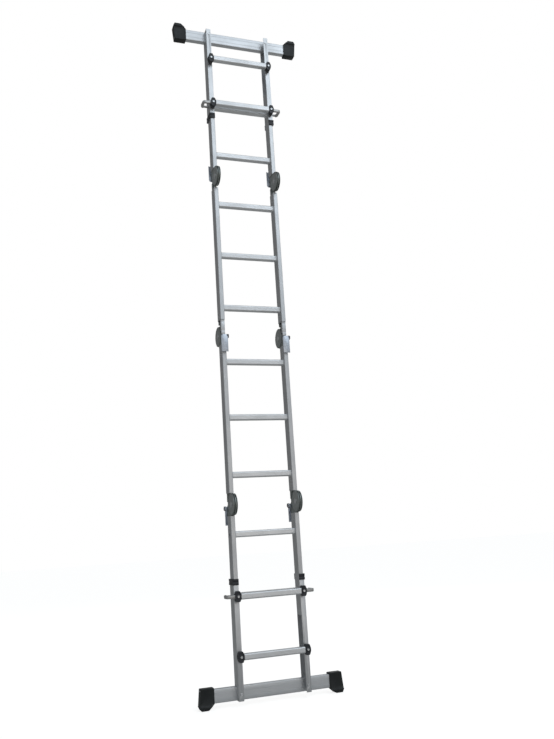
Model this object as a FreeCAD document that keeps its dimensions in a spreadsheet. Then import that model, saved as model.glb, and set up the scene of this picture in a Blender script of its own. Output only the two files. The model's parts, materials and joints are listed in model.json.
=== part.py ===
import FreeCAD, Part
import os
import re

import Sketcher

# Folding ladder with telescoping ends, in millimetres.
#
# X runs along the rungs, Y to the back and Z up, with the ground at z = 0.
# Four straight sections, A at the top to D at the bottom, are joined by three
# pairs of hinges. Sections A and D each carry a telescoping end section.

DIMENSIONS = (
    ("rung_pitch", 280, "from one rung to the next"),
    ("rung_base", 200, "height of a rung one pitch below the lowest fixed rung"),
    ("half_width", 173, "middle to the outer face of a fixed rail"),
    ("rail_width", 22, "fixed rail, along X"),
    ("rail_depth", 58, "fixed rail, along Y"),
    ("rail_wall", 2, "wall of a fixed rail"),
    ("rail_radius", 3, "rounding of a fixed rail's long edges"),
    ("rail_gap", 54, "hinge axis to the end of a fixed rail"),
    ("tang_gap", 73, "middle hinge axis to the end of the rail above it"),
    ("rail_overrun", 112, "end rung to the free end of its rail"),
    ("rung_size", 29, "height and depth of a rung"),
    ("rung_wall", 2, "wall of a rung"),
    ("rung_radius", 6.5, "rounding of a rung's long edges"),
    ("rib_pitch", 4.5, "from one tread groove to the next"),
    ("rib_depth", 0.8, "depth of a tread groove"),
    ("rib_width", 1.6, "width of a tread groove"),
    ("slide_gap", 0.3, "clearance between a fixed and a telescoping rail"),
    ("channel_wall", 2, "wall of a telescoping rail"),
    ("channel_flange", 24.3, "flange of a telescoping rail, along X"),
    ("channel_short", 1184, "ladder's middle to a telescoping rail's inner end"),
    ("channel_far", 1715, "ladder's middle to a telescoping rail's outer end"),
    ("front_offset", 46, "rails' centre plane to a telescoping rung's centre"),
    ("outer_rung_step", 264, "from a telescoping section's inner to outer rung"),
    ("bracket_inset", 4, "rung bracket's inner face inside the rail's"),
    ("bracket_width", 29, "rung bracket, along X"),
    ("bracket_height", 48, "rung bracket, along Z"),
    ("bracket_front", 59.5, "rails' centre plane to a rung bracket's front"),
    ("bracket_taper", 3.5, "a bracket's widest part past its corners, on each side"),
    ("bracket_ledge", 6, "half of the height of that part"),
    ("bracket_chamfer", 7, "cut corners of a rung bracket"),
    ("collar_height", 28, "guide collar, along Z"),
    ("collar_wall", 3.4, "guide collar around a telescoping rail"),
    ("bar_height", 60, "stabiliser bar, along Z"),
    ("bar_depth", 27, "stabiliser bar, along Y"),
    ("bar_wall", 2.5, "wall of a stabiliser bar"),
    ("bar_reach", 344, "middle to the end of a stabiliser bar"),
    ("foot_inner", 281, "middle to the inner side of a foot"),
    ("foot_reach", 350, "middle to the outer side of a foot"),
    ("foot_drop", 25, "sole below the bar"),
    ("foot_rise", 7, "foot past the bar's inner edge"),
    ("foot_wall", 6, "foot in front of and behind the bar"),
    ("sole_flare", 4.5, "flare of the sole to the front and back"),
    ("sole_height", 16, "height of the flared sole"),
    ("sole_start", 309, "middle to the sole's inner edge"),
    ("sole_end", 342, "middle to the sole's outer edge"),
    ("foot_lean", 7, "lean of a foot's outer side"),
    ("lock_reach", 217, "middle to the tip of a drawn lock handle"),
    ("lock_stock", 12, "lock handle's stock, in plan"),
    ("lock_height", 16, "lock handle, along Z"),
    ("lock_radius", 6, "lock pin"),
    ("lock_bend", 4, "rounding of a lock handle's bends"),
    ("lock_tail", 150, "middle to the hidden end of a drawn lock handle"),
    ("lock_gap", 0.3, "clearance around a lock handle"),
    ("disc_offset", 46, "rails' centre plane to a hinge axis"),
    ("disc_radius", 52, "hinge tongue"),
    ("cheek_inset", 1.5, "hinge cheek inside the tongue's rim"),
    ("rim_share", 0.9, "part of a disc's radius where a straight side meets it"),
    ("heel_share", 0.33, "part of a disc's radius from its axis to the far side"),
    ("toe_drop", 13, "cheek past the hinge axis in the rails' centre plane"),
    ("tang_start", 14, "hinge axis to the end of the tang beside a tongue"),
    ("tang_tip", 2, "tip of the tang past the hinge axis, in the slot"),
    ("tang_depth", 16, "tang, across its rail"),
    ("fork_width", 18, "hinge fork over both cheeks"),
    ("slot_width", 13, "slot between the cheeks"),
    ("slot_floor", 64, "hinge axis to the web between the cheeks"),
    ("web_thick", 6, "web between the cheeks"),
    ("tongue_width", 5, "hinge tongue"),
    ("washer_radius", 16, "raised ring around a tongue's pivot"),
    ("washer_gap", 0.3, "clearance between that ring and a cheek"),
    ("spacer_radius", 8, "spacer around a rivet in a shank"),
    ("shank_reach", 118, "hinge axis to the end of a shank in its rail"),
    ("shank_half", 25, "half of a shank's depth"),
    ("shank_wall", 5, "wall of a tongue's shank"),
    ("pivot_radius", 7, "hinge pivot"),
    ("pivot_head", 12, "head of a hinge pivot"),
    ("head_height", 2.5, "height of a rivet or bolt head"),
    ("running_gap", 0.08, "radial clearance of a pivot"),
    ("rivet_radius", 4, "rivet through a shank"),
    ("rivet_near", 86, "hinge axis to the nearer rivet"),
    ("rivet_far", 104, "hinge axis to the farther rivet"),
    ("notch_width", 13, "latch notch in a tongue"),
    ("notch_depth", 5.5, "latch notch in a tongue"),
    ("tooth_width", 9, "latch tooth on a lever"),
    ("tooth_gap", 0.8, "released tooth to the tongue's rim"),
    ("arm_inner", 57, "hinge axis to the near side of the latch arm"),
    ("arm_outer", 65, "hinge axis to the far side of the latch arm"),
    ("arm_width", 8, "latch arm, along X"),
    ("lever_width", 34, "lever paddle, along X"),
    ("lever_top", 45, "rails' centre plane to a lever's outer face"),
    ("lever_sheet", 3, "thickness of a lever"),
    ("lever_lip", 3, "height of the lips along a lever"),
    ("lever_start", 8, "hinge axis to a lever's rounded end"),
    ("lever_crown", 12, "width of the slope on each side of that end"),
    ("lever_arch", 12, "height of those slopes"),
    ("lever_reach", 96, "hinge axis to a lever's free end"),
    ("lever_ear", 50, "hinge axis to the end of a lever's ears"),
    ("knob_radius", 8.5, "knob around the inner end of a lever's pin"),
    ("knob_proud", 5, "knob past the lever's inner edge"),
    ("ear_inner", 9.6, "lever's middle to an ear"),
    ("ear_outer", 12.6, "lever's middle to an ear's far side"),
    ("pin_across", 30, "rails' centre plane to a lever's pin"),
    ("pin_along", 16, "hinge axis to a lever's pin"),
    ("pin_radius", 3, "lever's pin, and the shank of a bolt"),
    ("boss_radius", 7, "boss around a lever's pin"),
    ("bolt_head", 6.5, "head of a bolt"),
    ("bolt_grip", 6, "bolt's hold in a bracket"),
)
WORDS = frozenset(word for word, size, note in DIMENSIONS)

# Heights of the hinges in rung pitches, and the number of fixed rungs
HINGES = {"lower": 2.5, "middle": 5.5, "upper": 8.5}
RUNGS = 10

MIDDLE = "(rung_base + 5.5 * rung_pitch)"
RAIL_CENTRE = "(half_width - rail_width / 2)"
CHANNEL_HALF = "(rail_depth / 2 + slide_gap + channel_wall)"
CHANNEL_OUT = "(half_width + slide_gap + channel_wall)"
INNER_RUNG = "(4.5 * rung_pitch)"
OUTER_RUNG = f"({INNER_RUNG} + outer_rung_step)"
BAR_CENTRE = "(channel_far - bar_height / 2)"
BAR_ACROSS = "(rail_depth / 2 + slide_gap - bar_depth / 2)"
BRACKET_SEAT = f"((bracket_front + {CHANNEL_HALF}) / 2)"
BRACKET_INNER = "(half_width - rail_width - bracket_inset)"
BRACKET_CENTRE = f"({BRACKET_INNER} + bracket_width / 2)"
PARALLEL = 0.999

UPRIGHT = FreeCAD.Rotation()
ABOUT_X = FreeCAD.Rotation(FreeCAD.Vector(1, 0, 0), 180)
ABOUT_Y = FreeCAD.Rotation(FreeCAD.Vector(0, 1, 0), 180)
ABOUT_Z = FreeCAD.Rotation(FreeCAD.Vector(0, 0, 1), 180)

doc = FreeCAD.newDocument("ladder")
nodes = []


def fill_sheet():
    """Puts every driving dimension in the spreadsheet under its own word."""
    sheet = doc.addObject("Spreadsheet::Sheet", "dims")
    for row, (word, size, note) in enumerate(DIMENSIONS, start=1):
        sheet.set(f"A{row}", str(size))
        sheet.set(f"B{row}", note)
        sheet.setAlias(f"A{row}", word)
    doc.recompute()


def formula(text):
    """Turns the words in a sum into references to the spreadsheet."""
    return re.sub(
        r"[a-z_]+",
        lambda found: f"dims.{found[0]}" if found[0] in WORDS else found[0],
        str(text),
    )


def bind(thing, name, text):
    """Binds one property or constraint to a sum of driving dimensions."""
    thing.setExpression(name, formula(text))


def new_body(name):
    """Starts a body."""
    body = doc.addObject("PartDesign::Body", name)
    body.Label = name
    return body


def new_sketch(body, role, shift):
    """Starts a sketch on an origin plane of its own body, moved along its normal."""
    sketch = body.newObject("Sketcher::SketchObject", body.Name + "_sketch")
    plane = next(o for o in body.Origin.OriginFeatures if o.Role == role)
    sketch.AttachmentSupport = [(plane, "")]
    sketch.MapMode = "FlatFace"
    bind(sketch, "AttachmentOffset.Base.z", shift)
    return sketch


def pin_down(sketch, edge, corner, across, along):
    """Fixes a point of a sketch at two sums, measured from the sketch's origin."""
    for kind, text in (("DistanceX", across), ("DistanceY", along)):
        rule = Sketcher.Constraint(kind, -1, 1, edge, corner, 0)
        bind(sketch, f"Constraints[{sketch.addConstraint(rule)}]", text)


def draw_loop(sketch, points):
    """Draws one closed outline with straight sides."""
    first = sketch.GeometryCount
    count = len(points)
    spots = [FreeCAD.Vector(i, i * i % count, 0) for i in range(count)]
    for i in range(count):
        sketch.addGeometry(Part.LineSegment(spots[i], spots[(i + 1) % count]), False)
    for i in range(count):
        after = first + (i + 1) % count
        sketch.addConstraint(Sketcher.Constraint("Coincident", first + i, 2, after, 1))
    for i, (across, along) in enumerate(points):
        pin_down(sketch, first + i, 1, across, along)


def draw_circle(sketch, across, along, radius):
    """Draws one circle."""
    start = Part.Circle(FreeCAD.Vector(0, 0, 0), FreeCAD.Vector(0, 0, 1), 1)
    edge = sketch.addGeometry(start, False)
    rule = Sketcher.Constraint("Radius", edge, 1)
    bind(sketch, f"Constraints[{sketch.addConstraint(rule)}]", radius)
    pin_down(sketch, edge, 3, across, along)


def extrude(body, kind, sketch, thick):
    """Pads or pockets a sketch by a thickness, half to each side of it."""
    doc.recompute()
    before = body.Shape.Volume if kind == "Pocket" else 0
    feature = body.newObject("PartDesign::" + kind, body.Name + "_" + kind.lower())
    feature.Profile = sketch
    feature.SideType = "Symmetric"
    bind(feature, "Length", thick)
    doc.recompute()
    if kind == "Pocket" and body.Shape.Volume >= before:
        raise RuntimeError(body.Label + ": a pocket cut nothing")


def add(body, role, loops, thick, shift="0"):
    """Adds a slab with one or more outlines."""
    sketch = new_sketch(body, role, shift)
    for points in loops:
        draw_loop(sketch, points)
    extrude(body, "Pad", sketch, thick)


def cut(body, role, loops, thick, shift="0"):
    """Cuts a slab with one or more outlines."""
    sketch = new_sketch(body, role, shift)
    for points in loops:
        draw_loop(sketch, points)
    extrude(body, "Pocket", sketch, thick)


def add_discs(body, role, circles, thick, shift="0"):
    """Adds one or more discs, each (across, along, radius)."""
    sketch = new_sketch(body, role, shift)
    for circle in circles:
        draw_circle(sketch, *circle)
    extrude(body, "Pad", sketch, thick)


def drill(body, role, circles, thick, shift="0"):
    """Cuts one or more round holes, each (across, along, radius)."""
    sketch = new_sketch(body, role, shift)
    for circle in circles:
        draw_circle(sketch, *circle)
    extrude(body, "Pocket", sketch, thick)


def round_edges(body, radius, wanted):
    """Rounds the edges that a test picks."""
    doc.recompute()
    base = body.Tip
    edges = enumerate(base.Shape.Edges, start=1)
    names = [f"Edge{i}" for i, edge in edges if wanted(edge)]
    if not names:
        raise RuntimeError(body.Label + ": no edge to round")
    fillet = body.newObject("PartDesign::Fillet", body.Name + "_fillet")
    fillet.Base = (base, names)
    bind(fillet, "Radius", radius)
    doc.recompute()


def runs_along(edge, axis):
    """Tells whether an edge is straight and runs along an axis."""
    if not isinstance(edge.Curve, Part.Line):
        return False
    return abs(edge.Curve.Direction.dot(axis)) > PARALLEL


def place(thing, across, deep, high, turn=UPRIGHT):
    """Turns a thing and puts its origin at three sums."""
    thing.Placement = FreeCAD.Placement(FreeCAD.Vector(), turn)
    bind(thing, "Placement.Base.x", across)
    bind(thing, "Placement.Base.y", deep)
    bind(thing, "Placement.Base.z", high)


def keep(thing):
    """Marks a thing as a sub-part of its own."""
    nodes.append(thing)
    return thing


def group(name, members):
    """Joins separate solids of one kind into one sub-part."""
    compound = doc.addObject("Part::Compound", name)
    compound.Label = name
    compound.Links = members
    return keep(compound)


def rectangle(half_across, half_along):
    """Gives the corners of a rectangle around the origin."""
    return [
        (f"-({half_across})", f"-({half_along})"),
        (half_across, f"-({half_along})"),
        (half_across, half_along),
        (f"-({half_across})", half_along),
    ]


def span(low_across, high_across, low_along, high_along):
    """Gives the corners of a rectangle between two corners."""
    return [
        (low_across, low_along),
        (high_across, low_along),
        (high_across, high_along),
        (low_across, high_along),
    ]


def signed(side, text):
    """Gives a sum on the left (-1) or the right (1) of the middle."""
    return f"{side} * ({text})"


def side_name(side):
    """Names the left (-1) or right (1) side."""
    return "right" if side > 0 else "left"


# Fixed sections


def fixed_rail(section, side, low, high, holes):
    """Makes a hollow rail between two heights, with holes (height, radius)."""
    name = f"rail_{section}_{side_name(side)}"
    body = new_body(name)
    centre = f"({low} + {high}) / 2"
    outer = rectangle("rail_width / 2", "rail_depth / 2")
    inner = rectangle("rail_width / 2 - rail_wall", "rail_depth / 2 - rail_wall")
    add(body, "XY_Plane", [outer, inner], f"{high} - ({low})")
    skin = rail_skin(body)
    upright = FreeCAD.Vector(0, 0, 1)
    round_edges(
        body,
        "rail_radius",
        lambda edge: runs_along(edge, upright) and abs(edge.CenterOfMass.x) > skin,
    )
    circles = [("0", f"{height} - {centre}", radius) for height, radius in holes]
    drill(body, "YZ_Plane", circles, "2 * rail_width")
    place(body, signed(side, RAIL_CENTRE), "0", centre)
    return keep(body)


def rail_skin(body):
    """Gives a distance from a rail's middle between its inner and outer faces."""
    box = body.Shape.BoundBox
    return box.XMax - doc.dims.rail_wall / 2


def fixed_rung(number):
    """Makes a fixed rung, counted up from the ladder's lowest fixed rung."""
    body = rung(f"rung_fixed_{number:02d}", "2 * (half_width - rail_width)")
    place(body, "0", "0", rung_height(number))
    return keep(body)


def rung(name, length):
    """Makes a hollow rung with rounded edges and tread grooves front and back."""
    body = new_body(name)
    outer = rectangle("rung_size / 2", "rung_size / 2")
    add(body, "YZ_Plane", [outer], length)
    along = FreeCAD.Vector(1, 0, 0)
    round_edges(body, "rung_radius", lambda edge: runs_along(edge, along))
    inner = rectangle("rung_size / 2 - rung_wall", "rung_size / 2 - rung_wall")
    cut(body, "YZ_Plane", [inner], length)
    grooves = []
    for face in (-1, 1):
        for step in (-1, 0, 1):
            low = f"{face} * (rung_size / 2 - rib_depth)"
            high = f"{face} * (rung_size / 2 + rib_depth)"
            bottom = f"{step} * rib_pitch - rib_width / 2"
            top = f"{step} * rib_pitch + rib_width / 2"
            grooves.append(span(low, high, bottom, top))
    cut(body, "YZ_Plane", grooves, length)
    return body


def rung_height(number):
    """Gives the height of a fixed rung."""
    return f"(rung_base + {number} * rung_pitch)"


def lock_holes(numbers):
    """Gives a rail's holes for the lock pins, level with some of its rungs."""
    return [(rung_height(number), "lock_radius + lock_gap") for number in numbers]


def rivet_holes(axis, way):
    """Gives a rail's holes for the rivets above (1) or below (-1) a hinge axis."""
    reaches = ("rivet_near", "rivet_far")
    return [(f"({axis} + {way} * {reach})", "rivet_radius") for reach in reaches]


def fixed_sections():
    """Makes the rails and rungs of sections A to D."""
    lower, middle, upper = (rung_height(HINGES[name]) for name in HINGES)
    low_end = f"({rung_height(1)} - rail_overrun)"
    high_end = f"({rung_height(RUNGS)} + rail_overrun)"
    ends = {
        "a": (f"({upper} + rail_gap)", high_end),
        "b": (f"({middle} + tang_gap)", f"({upper} - rail_gap)"),
        "c": (f"({lower} + rail_gap)", f"({middle} - rail_gap)"),
        "d": (low_end, f"({lower} - rail_gap)"),
    }
    holes = {
        "a": lock_holes((RUNGS - 1, RUNGS)) + rivet_holes(upper, 1),
        "b": rivet_holes(upper, -1) + rivet_holes(middle, 1),
        "c": rivet_holes(middle, -1) + rivet_holes(lower, 1),
        "d": lock_holes((1, 2)) + rivet_holes(lower, -1),
    }
    for section, (low, high) in ends.items():
        for side in (-1, 1):
            fixed_rail(section, side, low, high, holes[section])
    for number in range(1, RUNGS + 1):
        fixed_rung(number)


# Telescoping sections: "end" is 1 at the top and -1 at the bottom. Everything
# on them is drawn for the top and turned about Y for the bottom.


def end_name(end):
    """Names the telescoping section at the top (1) or the bottom (-1)."""
    return "top" if end > 0 else "bottom"


def place_end(thing, end, across, deep, high):
    """Puts a thing on the telescoping section at one end of the ladder."""
    turn = UPRIGHT if end > 0 else ABOUT_Y
    place(thing, f"{end} * ({across})", deep, f"{MIDDLE} + {end} * ({high})", turn)


def channel_rail(end, side):
    """Makes a C-shaped telescoping rail, which slides over a fixed rail."""
    body = new_body(f"rail_{end_name(end)}_{side_name(side * end)}")
    web_out = signed(side, CHANNEL_OUT)
    web_in = signed(side, "half_width + slide_gap")
    lip = signed(side, f"{CHANNEL_OUT} - channel_flange")
    inside = "(rail_depth / 2 + slide_gap)"
    outline = [
        (lip, f"-{CHANNEL_HALF}"),
        (web_out, f"-{CHANNEL_HALF}"),
        (web_out, CHANNEL_HALF),
        (lip, CHANNEL_HALF),
        (lip, inside),
        (web_in, inside),
        (web_in, f"-{inside}"),
        (lip, f"-{inside}"),
    ]
    centre = "((channel_short + channel_far) / 2)"
    add(body, "XY_Plane", [outline], "channel_far - channel_short")
    low = f"{BAR_CENTRE} - {centre} - bar_height / 2 - slide_gap"
    slot = span(f"{BAR_ACROSS} - bar_depth / 2 - slide_gap", inside, low, "channel_far")
    cut(body, "YZ_Plane", [slot], f"2 * {CHANNEL_OUT} + channel_wall")
    hole = ("0", f"{INNER_RUNG} - {centre}", "lock_radius + lock_gap")
    drill(body, "YZ_Plane", [hole], f"2 * {CHANNEL_OUT} + channel_wall")
    bolt = (signed(side, RAIL_CENTRE), f"{BAR_CENTRE} - {centre}", "pin_radius")
    drill(body, "XZ_Plane", [bolt], "2 * rail_depth")
    place_end(body, end, "0", "0", centre)
    return keep(body)


def guide_collars(end):
    """Makes the pair of collars around a telescoping section's inner ends."""
    members = []
    for side in (-1, 1):
        body = new_body(f"collar_{end_name(end)}_{side_name(side * end)}")
        lip = signed(side, f"{CHANNEL_OUT} - channel_flange - channel_wall / 2")
        out = signed(side, f"{CHANNEL_OUT} + collar_wall")
        web = signed(side, CHANNEL_OUT)
        face = f"({CHANNEL_HALF} + collar_wall)"
        outline = [
            (lip, f"-{face}"),
            (out, f"-{face}"),
            (out, face),
            (lip, face),
            (lip, CHANNEL_HALF),
            (web, CHANNEL_HALF),
            (web, f"-{CHANNEL_HALF}"),
            (lip, f"-{CHANNEL_HALF}"),
        ]
        add(body, "XY_Plane", [outline], "collar_height")
        place_end(body, end, "0", "0", "channel_short + collar_height / 2 - channel_wall")
        members.append(body)
    return group(f"collars_{end_name(end)}", members)


def bracket(end, side, label, height):
    """Makes a rung bracket: a block with cut corners, widest at mid-height."""
    body = new_body(f"bracket_{label}_{end_name(end)}_{side_name(side * end)}")
    wide = "bracket_width / 2"
    tall = "bracket_height / 2"
    quarter = [
        (f"({wide} - bracket_chamfer)", f"({tall})"),
        (f"({wide} - bracket_taper)", f"({tall} - bracket_chamfer)"),
        (f"({wide})", "bracket_ledge"),
    ]
    corners = list(quarter)
    corners += [(x, f"-{z}") for x, z in reversed(quarter)]
    corners += [(f"-{x}", f"-{z}") for x, z in quarter]
    corners += [(f"-{x}", z) for x, z in reversed(quarter)]
    add(body, "XZ_Plane", [corners], f"bracket_front - {CHANNEL_HALF}")
    core = rectangle("lock_stock / 2 + lock_gap", "lock_height / 2 + lock_gap")
    bore = [(f"{x} - front_offset + {BRACKET_SEAT}", z) for x, z in core]
    cut(body, "YZ_Plane", [bore], "2 * bracket_width")
    screw = ("0", "0", "pin_radius")
    drill(body, "XZ_Plane", [screw], "2 * bolt_grip", f"bracket_front - {BRACKET_SEAT}")
    place_end(body, end, signed(side, BRACKET_CENTRE), f"-{BRACKET_SEAT}", height)
    return body


def front_rungs(end):
    """Makes a telescoping section's two rungs and their four brackets."""
    brackets = []
    for label, height in (("inner", INNER_RUNG), ("outer", OUTER_RUNG)):
        body = rung(f"rung_{end_name(end)}_{label}", f"2 * {BRACKET_INNER}")
        place_end(body, end, "0", "-front_offset", height)
        keep(body)
        brackets += [bracket(end, side, label, height) for side in (-1, 1)]
    group(f"brackets_{end_name(end)}", brackets)


def stabiliser(end):
    """Makes the hollow bar across a telescoping section's outer end."""
    body = new_body(f"bar_{end_name(end)}")
    outer = rectangle("bar_depth / 2", "bar_height / 2")
    inner = rectangle("bar_depth / 2 - bar_wall", "bar_height / 2 - bar_wall")
    add(body, "YZ_Plane", [outer, inner], "2 * bar_reach")
    holes = [(signed(side, RAIL_CENTRE), "0", "pin_radius") for side in (-1, 1)]
    drill(body, "XZ_Plane", holes, "2 * bar_depth")
    place_end(body, end, "0", BAR_ACROSS, BAR_CENTRE)
    return keep(body)


def foot(end, side):
    """Makes a rubber boot on an end of a stabiliser bar."""
    body = new_body(f"foot_{end_name(end)}_{side_name(side * end)}")
    top = "-(bar_height / 2 + foot_rise)"
    sole = "(bar_height / 2 + foot_drop)"
    outline = [
        ("foot_inner", top),
        ("foot_reach - foot_lean", top),
        ("foot_reach", f"{sole} - sole_height"),
        ("sole_end", sole),
        ("sole_start", sole),
        ("foot_inner", "bar_height / 2"),
    ]
    flare = [
        ("foot_reach", f"{sole} - sole_height"),
        ("sole_end", sole),
        ("sole_start", sole),
        ("sole_start - sole_height", f"{sole} - sole_height"),
    ]
    thick = "(bar_depth + 2 * foot_wall)"
    outline = [(signed(side, x), z) for x, z in outline]
    flare = [(signed(side, x), z) for x, z in flare]
    add(body, "XZ_Plane", [outline], thick)
    add(body, "XZ_Plane", [flare], f"{thick} + 2 * sole_flare")
    bar = span("-bar_depth / 2", "bar_depth / 2", "-bar_height / 2", "bar_height / 2")
    cut(body, "YZ_Plane", [bar], "2 * bar_reach")
    place_end(body, end, "0", BAR_ACROSS, BAR_CENTRE)
    return keep(body)


def bracket_bolt(end, side, label, height):
    """Makes the bolt in the front of one rung bracket."""
    body = new_body(f"bolt_{label}_{end_name(end)}_{side_name(side * end)}")
    head = ("0", "0", "bolt_head")
    shank = ("0", "0", "pin_radius")
    add_discs(body, "XZ_Plane", [head], "head_height", "head_height / 2")
    add_discs(body, "XZ_Plane", [shank], "bolt_grip", "-bolt_grip / 2")
    place_end(body, end, signed(side, BRACKET_CENTRE), "-bracket_front", height)
    return body


def bar_bolt(end, side):
    """Makes the bolt through one rail and the stabiliser bar, headed at both ends."""
    body = new_body(f"bolt_bar_{end_name(end)}_{side_name(side * end)}")
    reach = f"({CHANNEL_HALF} + head_height)"
    add_discs(body, "XZ_Plane", [("0", "0", "pin_radius")], f"2 * {reach}")
    for way in (-1, 1):
        shift = f"{way} * ({reach} - head_height / 2)"
        add_discs(body, "XZ_Plane", [("0", "0", "bolt_head")], "head_height", shift)
    place_end(body, end, signed(side, RAIL_CENTRE), "0", BAR_CENTRE)
    return body


def end_bolts(end):
    """Makes the bolts that hold the brackets and the bar of one end section."""
    bolts = []
    for side in (-1, 1):
        bolts.append(bracket_bolt(end, side, "inner", INNER_RUNG))
        bolts.append(bracket_bolt(end, side, "outer", OUTER_RUNG))
        bolts.append(bar_bolt(end, side))
    return group(f"bolts_{end_name(end)}", bolts)


def lock_handle(end, side):
    """Makes a U-shaped lock handle, drawn out: its pin is just clear of the rail."""
    body = new_body(f"lock_{end_name(end)}_{side_name(side * end)}")
    tip = signed(side, "lock_reach")
    bend = signed(side, "lock_reach - lock_stock")
    tail = signed(side, "lock_tail")
    half = "lock_stock / 2"
    outline = [
        (tail, f"-front_offset - {half}"),
        (tip, f"-front_offset - {half}"),
        (tip, half),
        (bend, half),
        (bend, f"-front_offset + {half}"),
        (tail, f"-front_offset + {half}"),
    ]
    add(body, "XY_Plane", [outline], "lock_height")
    upright = FreeCAD.Vector(0, 0, 1)
    reach = doc.dims.lock_reach - 2 * doc.dims.lock_stock
    round_edges(
        body,
        "lock_bend",
        lambda edge: runs_along(edge, upright) and abs(edge.CenterOfMass.x) > reach,
    )
    nose = "(half_width + slide_gap + lock_gap)"
    root = "(lock_reach - lock_stock)"
    shift = signed(side, f"({root} + {nose}) / 2")
    add_discs(body, "YZ_Plane", [("0", "0", "lock_radius")], f"{root} - {nose}", shift)
    place_end(body, end, "0", "0", INNER_RUNG)
    return keep(body)


def telescoping_sections():
    """Makes both telescoping end sections."""
    for end in (1, -1):
        for side in (-1, 1):
            channel_rail(end, side)
            foot(end, side)
            lock_handle(end, side)
        front_rungs(end)
        stabiliser(end)
        guide_collars(end)
        end_bolts(end)


# Hinges. Each piece is drawn in one frame: X across the rail, Y towards the
# disc, Z from the axis towards the fork's section. Half turns put it on.

TURNS = {"upper": ABOUT_Z, "middle": ABOUT_Y, "lower": ABOUT_X}
SECTIONS = {"upper": ("a", "b"), "middle": ("c", "b"), "lower": ("d", "c")}


def place_hinge(thing, hinge, side):
    """Puts a hinge piece on one side of one hinge."""
    high = f"rung_base + {HINGES[hinge]} * rung_pitch"
    place(thing, signed(side, RAIL_CENTRE), "0", high, TURNS[hinge])


def at_latch(out, shift):
    """Gives a point this far from the axis towards the latch, shifted sideways."""
    across = f"disc_offset - ({out} - ({shift})) * cos(45)"
    along = f"({out} + ({shift})) * cos(45)"
    return across, along


def hinge_fork(hinge, side):
    """Makes a fork: two cheeks around the disc and a shank in its rail."""
    body = new_body(f"fork_{hinge}_{side_name(side)}")
    outline = [
        ("-shank_half", "shank_reach"),
        ("shank_half", "shank_reach"),
        ("shank_half", "rail_gap"),
        ("disc_offset + disc_radius * heel_share", "disc_radius * rim_share"),
        ("disc_offset", "-disc_radius / 2"),
        ("0", "-toe_drop"),
        ("-pin_across", "pin_along - boss_radius"),
        ("-pin_across - boss_radius", "pin_along"),
        ("-pin_across - boss_radius", "pin_along + boss_radius"),
        ("-shank_half", "rail_gap"),
    ]
    add(body, "YZ_Plane", [outline], "fork_width")
    disc = ("disc_offset", "0", "disc_radius - cheek_inset")
    add_discs(body, "YZ_Plane", [disc], "fork_width")
    reach = "(disc_offset + 2 * disc_radius)"
    slot = span(f"-{reach}", reach, f"-{reach}", "slot_floor")
    hollow = span(f"-{reach}", reach, "slot_floor + web_thick", "2 * shank_reach")
    cut(body, "YZ_Plane", [slot, hollow], "slot_width")
    holes = [
        ("disc_offset", "0", "pivot_radius"),
        ("-pin_across", "pin_along", "pin_radius"),
        ("0", "rivet_near", "rivet_radius"),
        ("0", "rivet_far", "rivet_radius"),
    ]
    drill(body, "YZ_Plane", holes, "2 * fork_width")
    place_hinge(body, hinge, side)
    return body


def hinge_tongue(hinge, side):
    """Makes a tongue: a notched disc on a shank in the other rail."""
    body = new_body(f"tongue_{hinge}_{side_name(side)}")
    frame = span("-shank_half", "shank_half", "-shank_reach", "-rail_gap - slide_gap")
    add(body, "YZ_Plane", [frame], "fork_width")
    rim = "shank_half - shank_wall"
    low = "-shank_reach + shank_wall"
    window = span(f"-({rim})", rim, low, "-rail_gap - slide_gap - shank_wall")
    cut(body, "YZ_Plane", [window], "2 * fork_width")
    blade = [
        ("-shank_half", "-shank_reach"),
        ("shank_half", "-shank_reach"),
        ("shank_half", "-rail_gap"),
        ("disc_offset", "0"),
        ("disc_offset - disc_radius * rim_share", "0"),
        ("-shank_half", "-rail_gap"),
    ]
    add(body, "YZ_Plane", [blade], "tongue_width")
    side_end = "tang_depth - shank_half"
    tang = span("-shank_half", side_end, "-shank_reach", "-tang_start")
    add(body, "YZ_Plane", [tang], "fork_width")
    tip = span("-shank_half", side_end, "-rail_gap", "tang_tip")
    add(body, "YZ_Plane", [tip], "slot_width - 2 * washer_gap")
    add_discs(body, "YZ_Plane", [("disc_offset", "0", "disc_radius")], "tongue_width")
    ring = [("disc_offset", "0", "washer_radius")]
    add_discs(body, "YZ_Plane", ring, "slot_width - 2 * washer_gap")
    spacers = [("0", "-rivet_near", "spacer_radius"), ("0", "-rivet_far", "spacer_radius")]
    add_discs(body, "YZ_Plane", spacers, "fork_width")
    notches = []
    for way in ("", "-"):
        floor = f"{way}(disc_radius - notch_depth)"
        rim = f"{way}(disc_radius + notch_depth)"
        half = "notch_width / 2"
        low, high = f"-{half}", half
        corners = ((floor, low), (floor, high), (rim, high), (rim, low))
        notches.append([at_latch(*corner) for corner in corners])
    cut(body, "YZ_Plane", notches, "2 * fork_width")
    holes = [
        ("disc_offset", "0", "pivot_radius + running_gap"),
        ("0", "-rivet_near", "rivet_radius"),
        ("0", "-rivet_far", "rivet_radius"),
    ]
    drill(body, "YZ_Plane", holes, "2 * fork_width")
    place_hinge(body, hinge, side)
    return body


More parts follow.
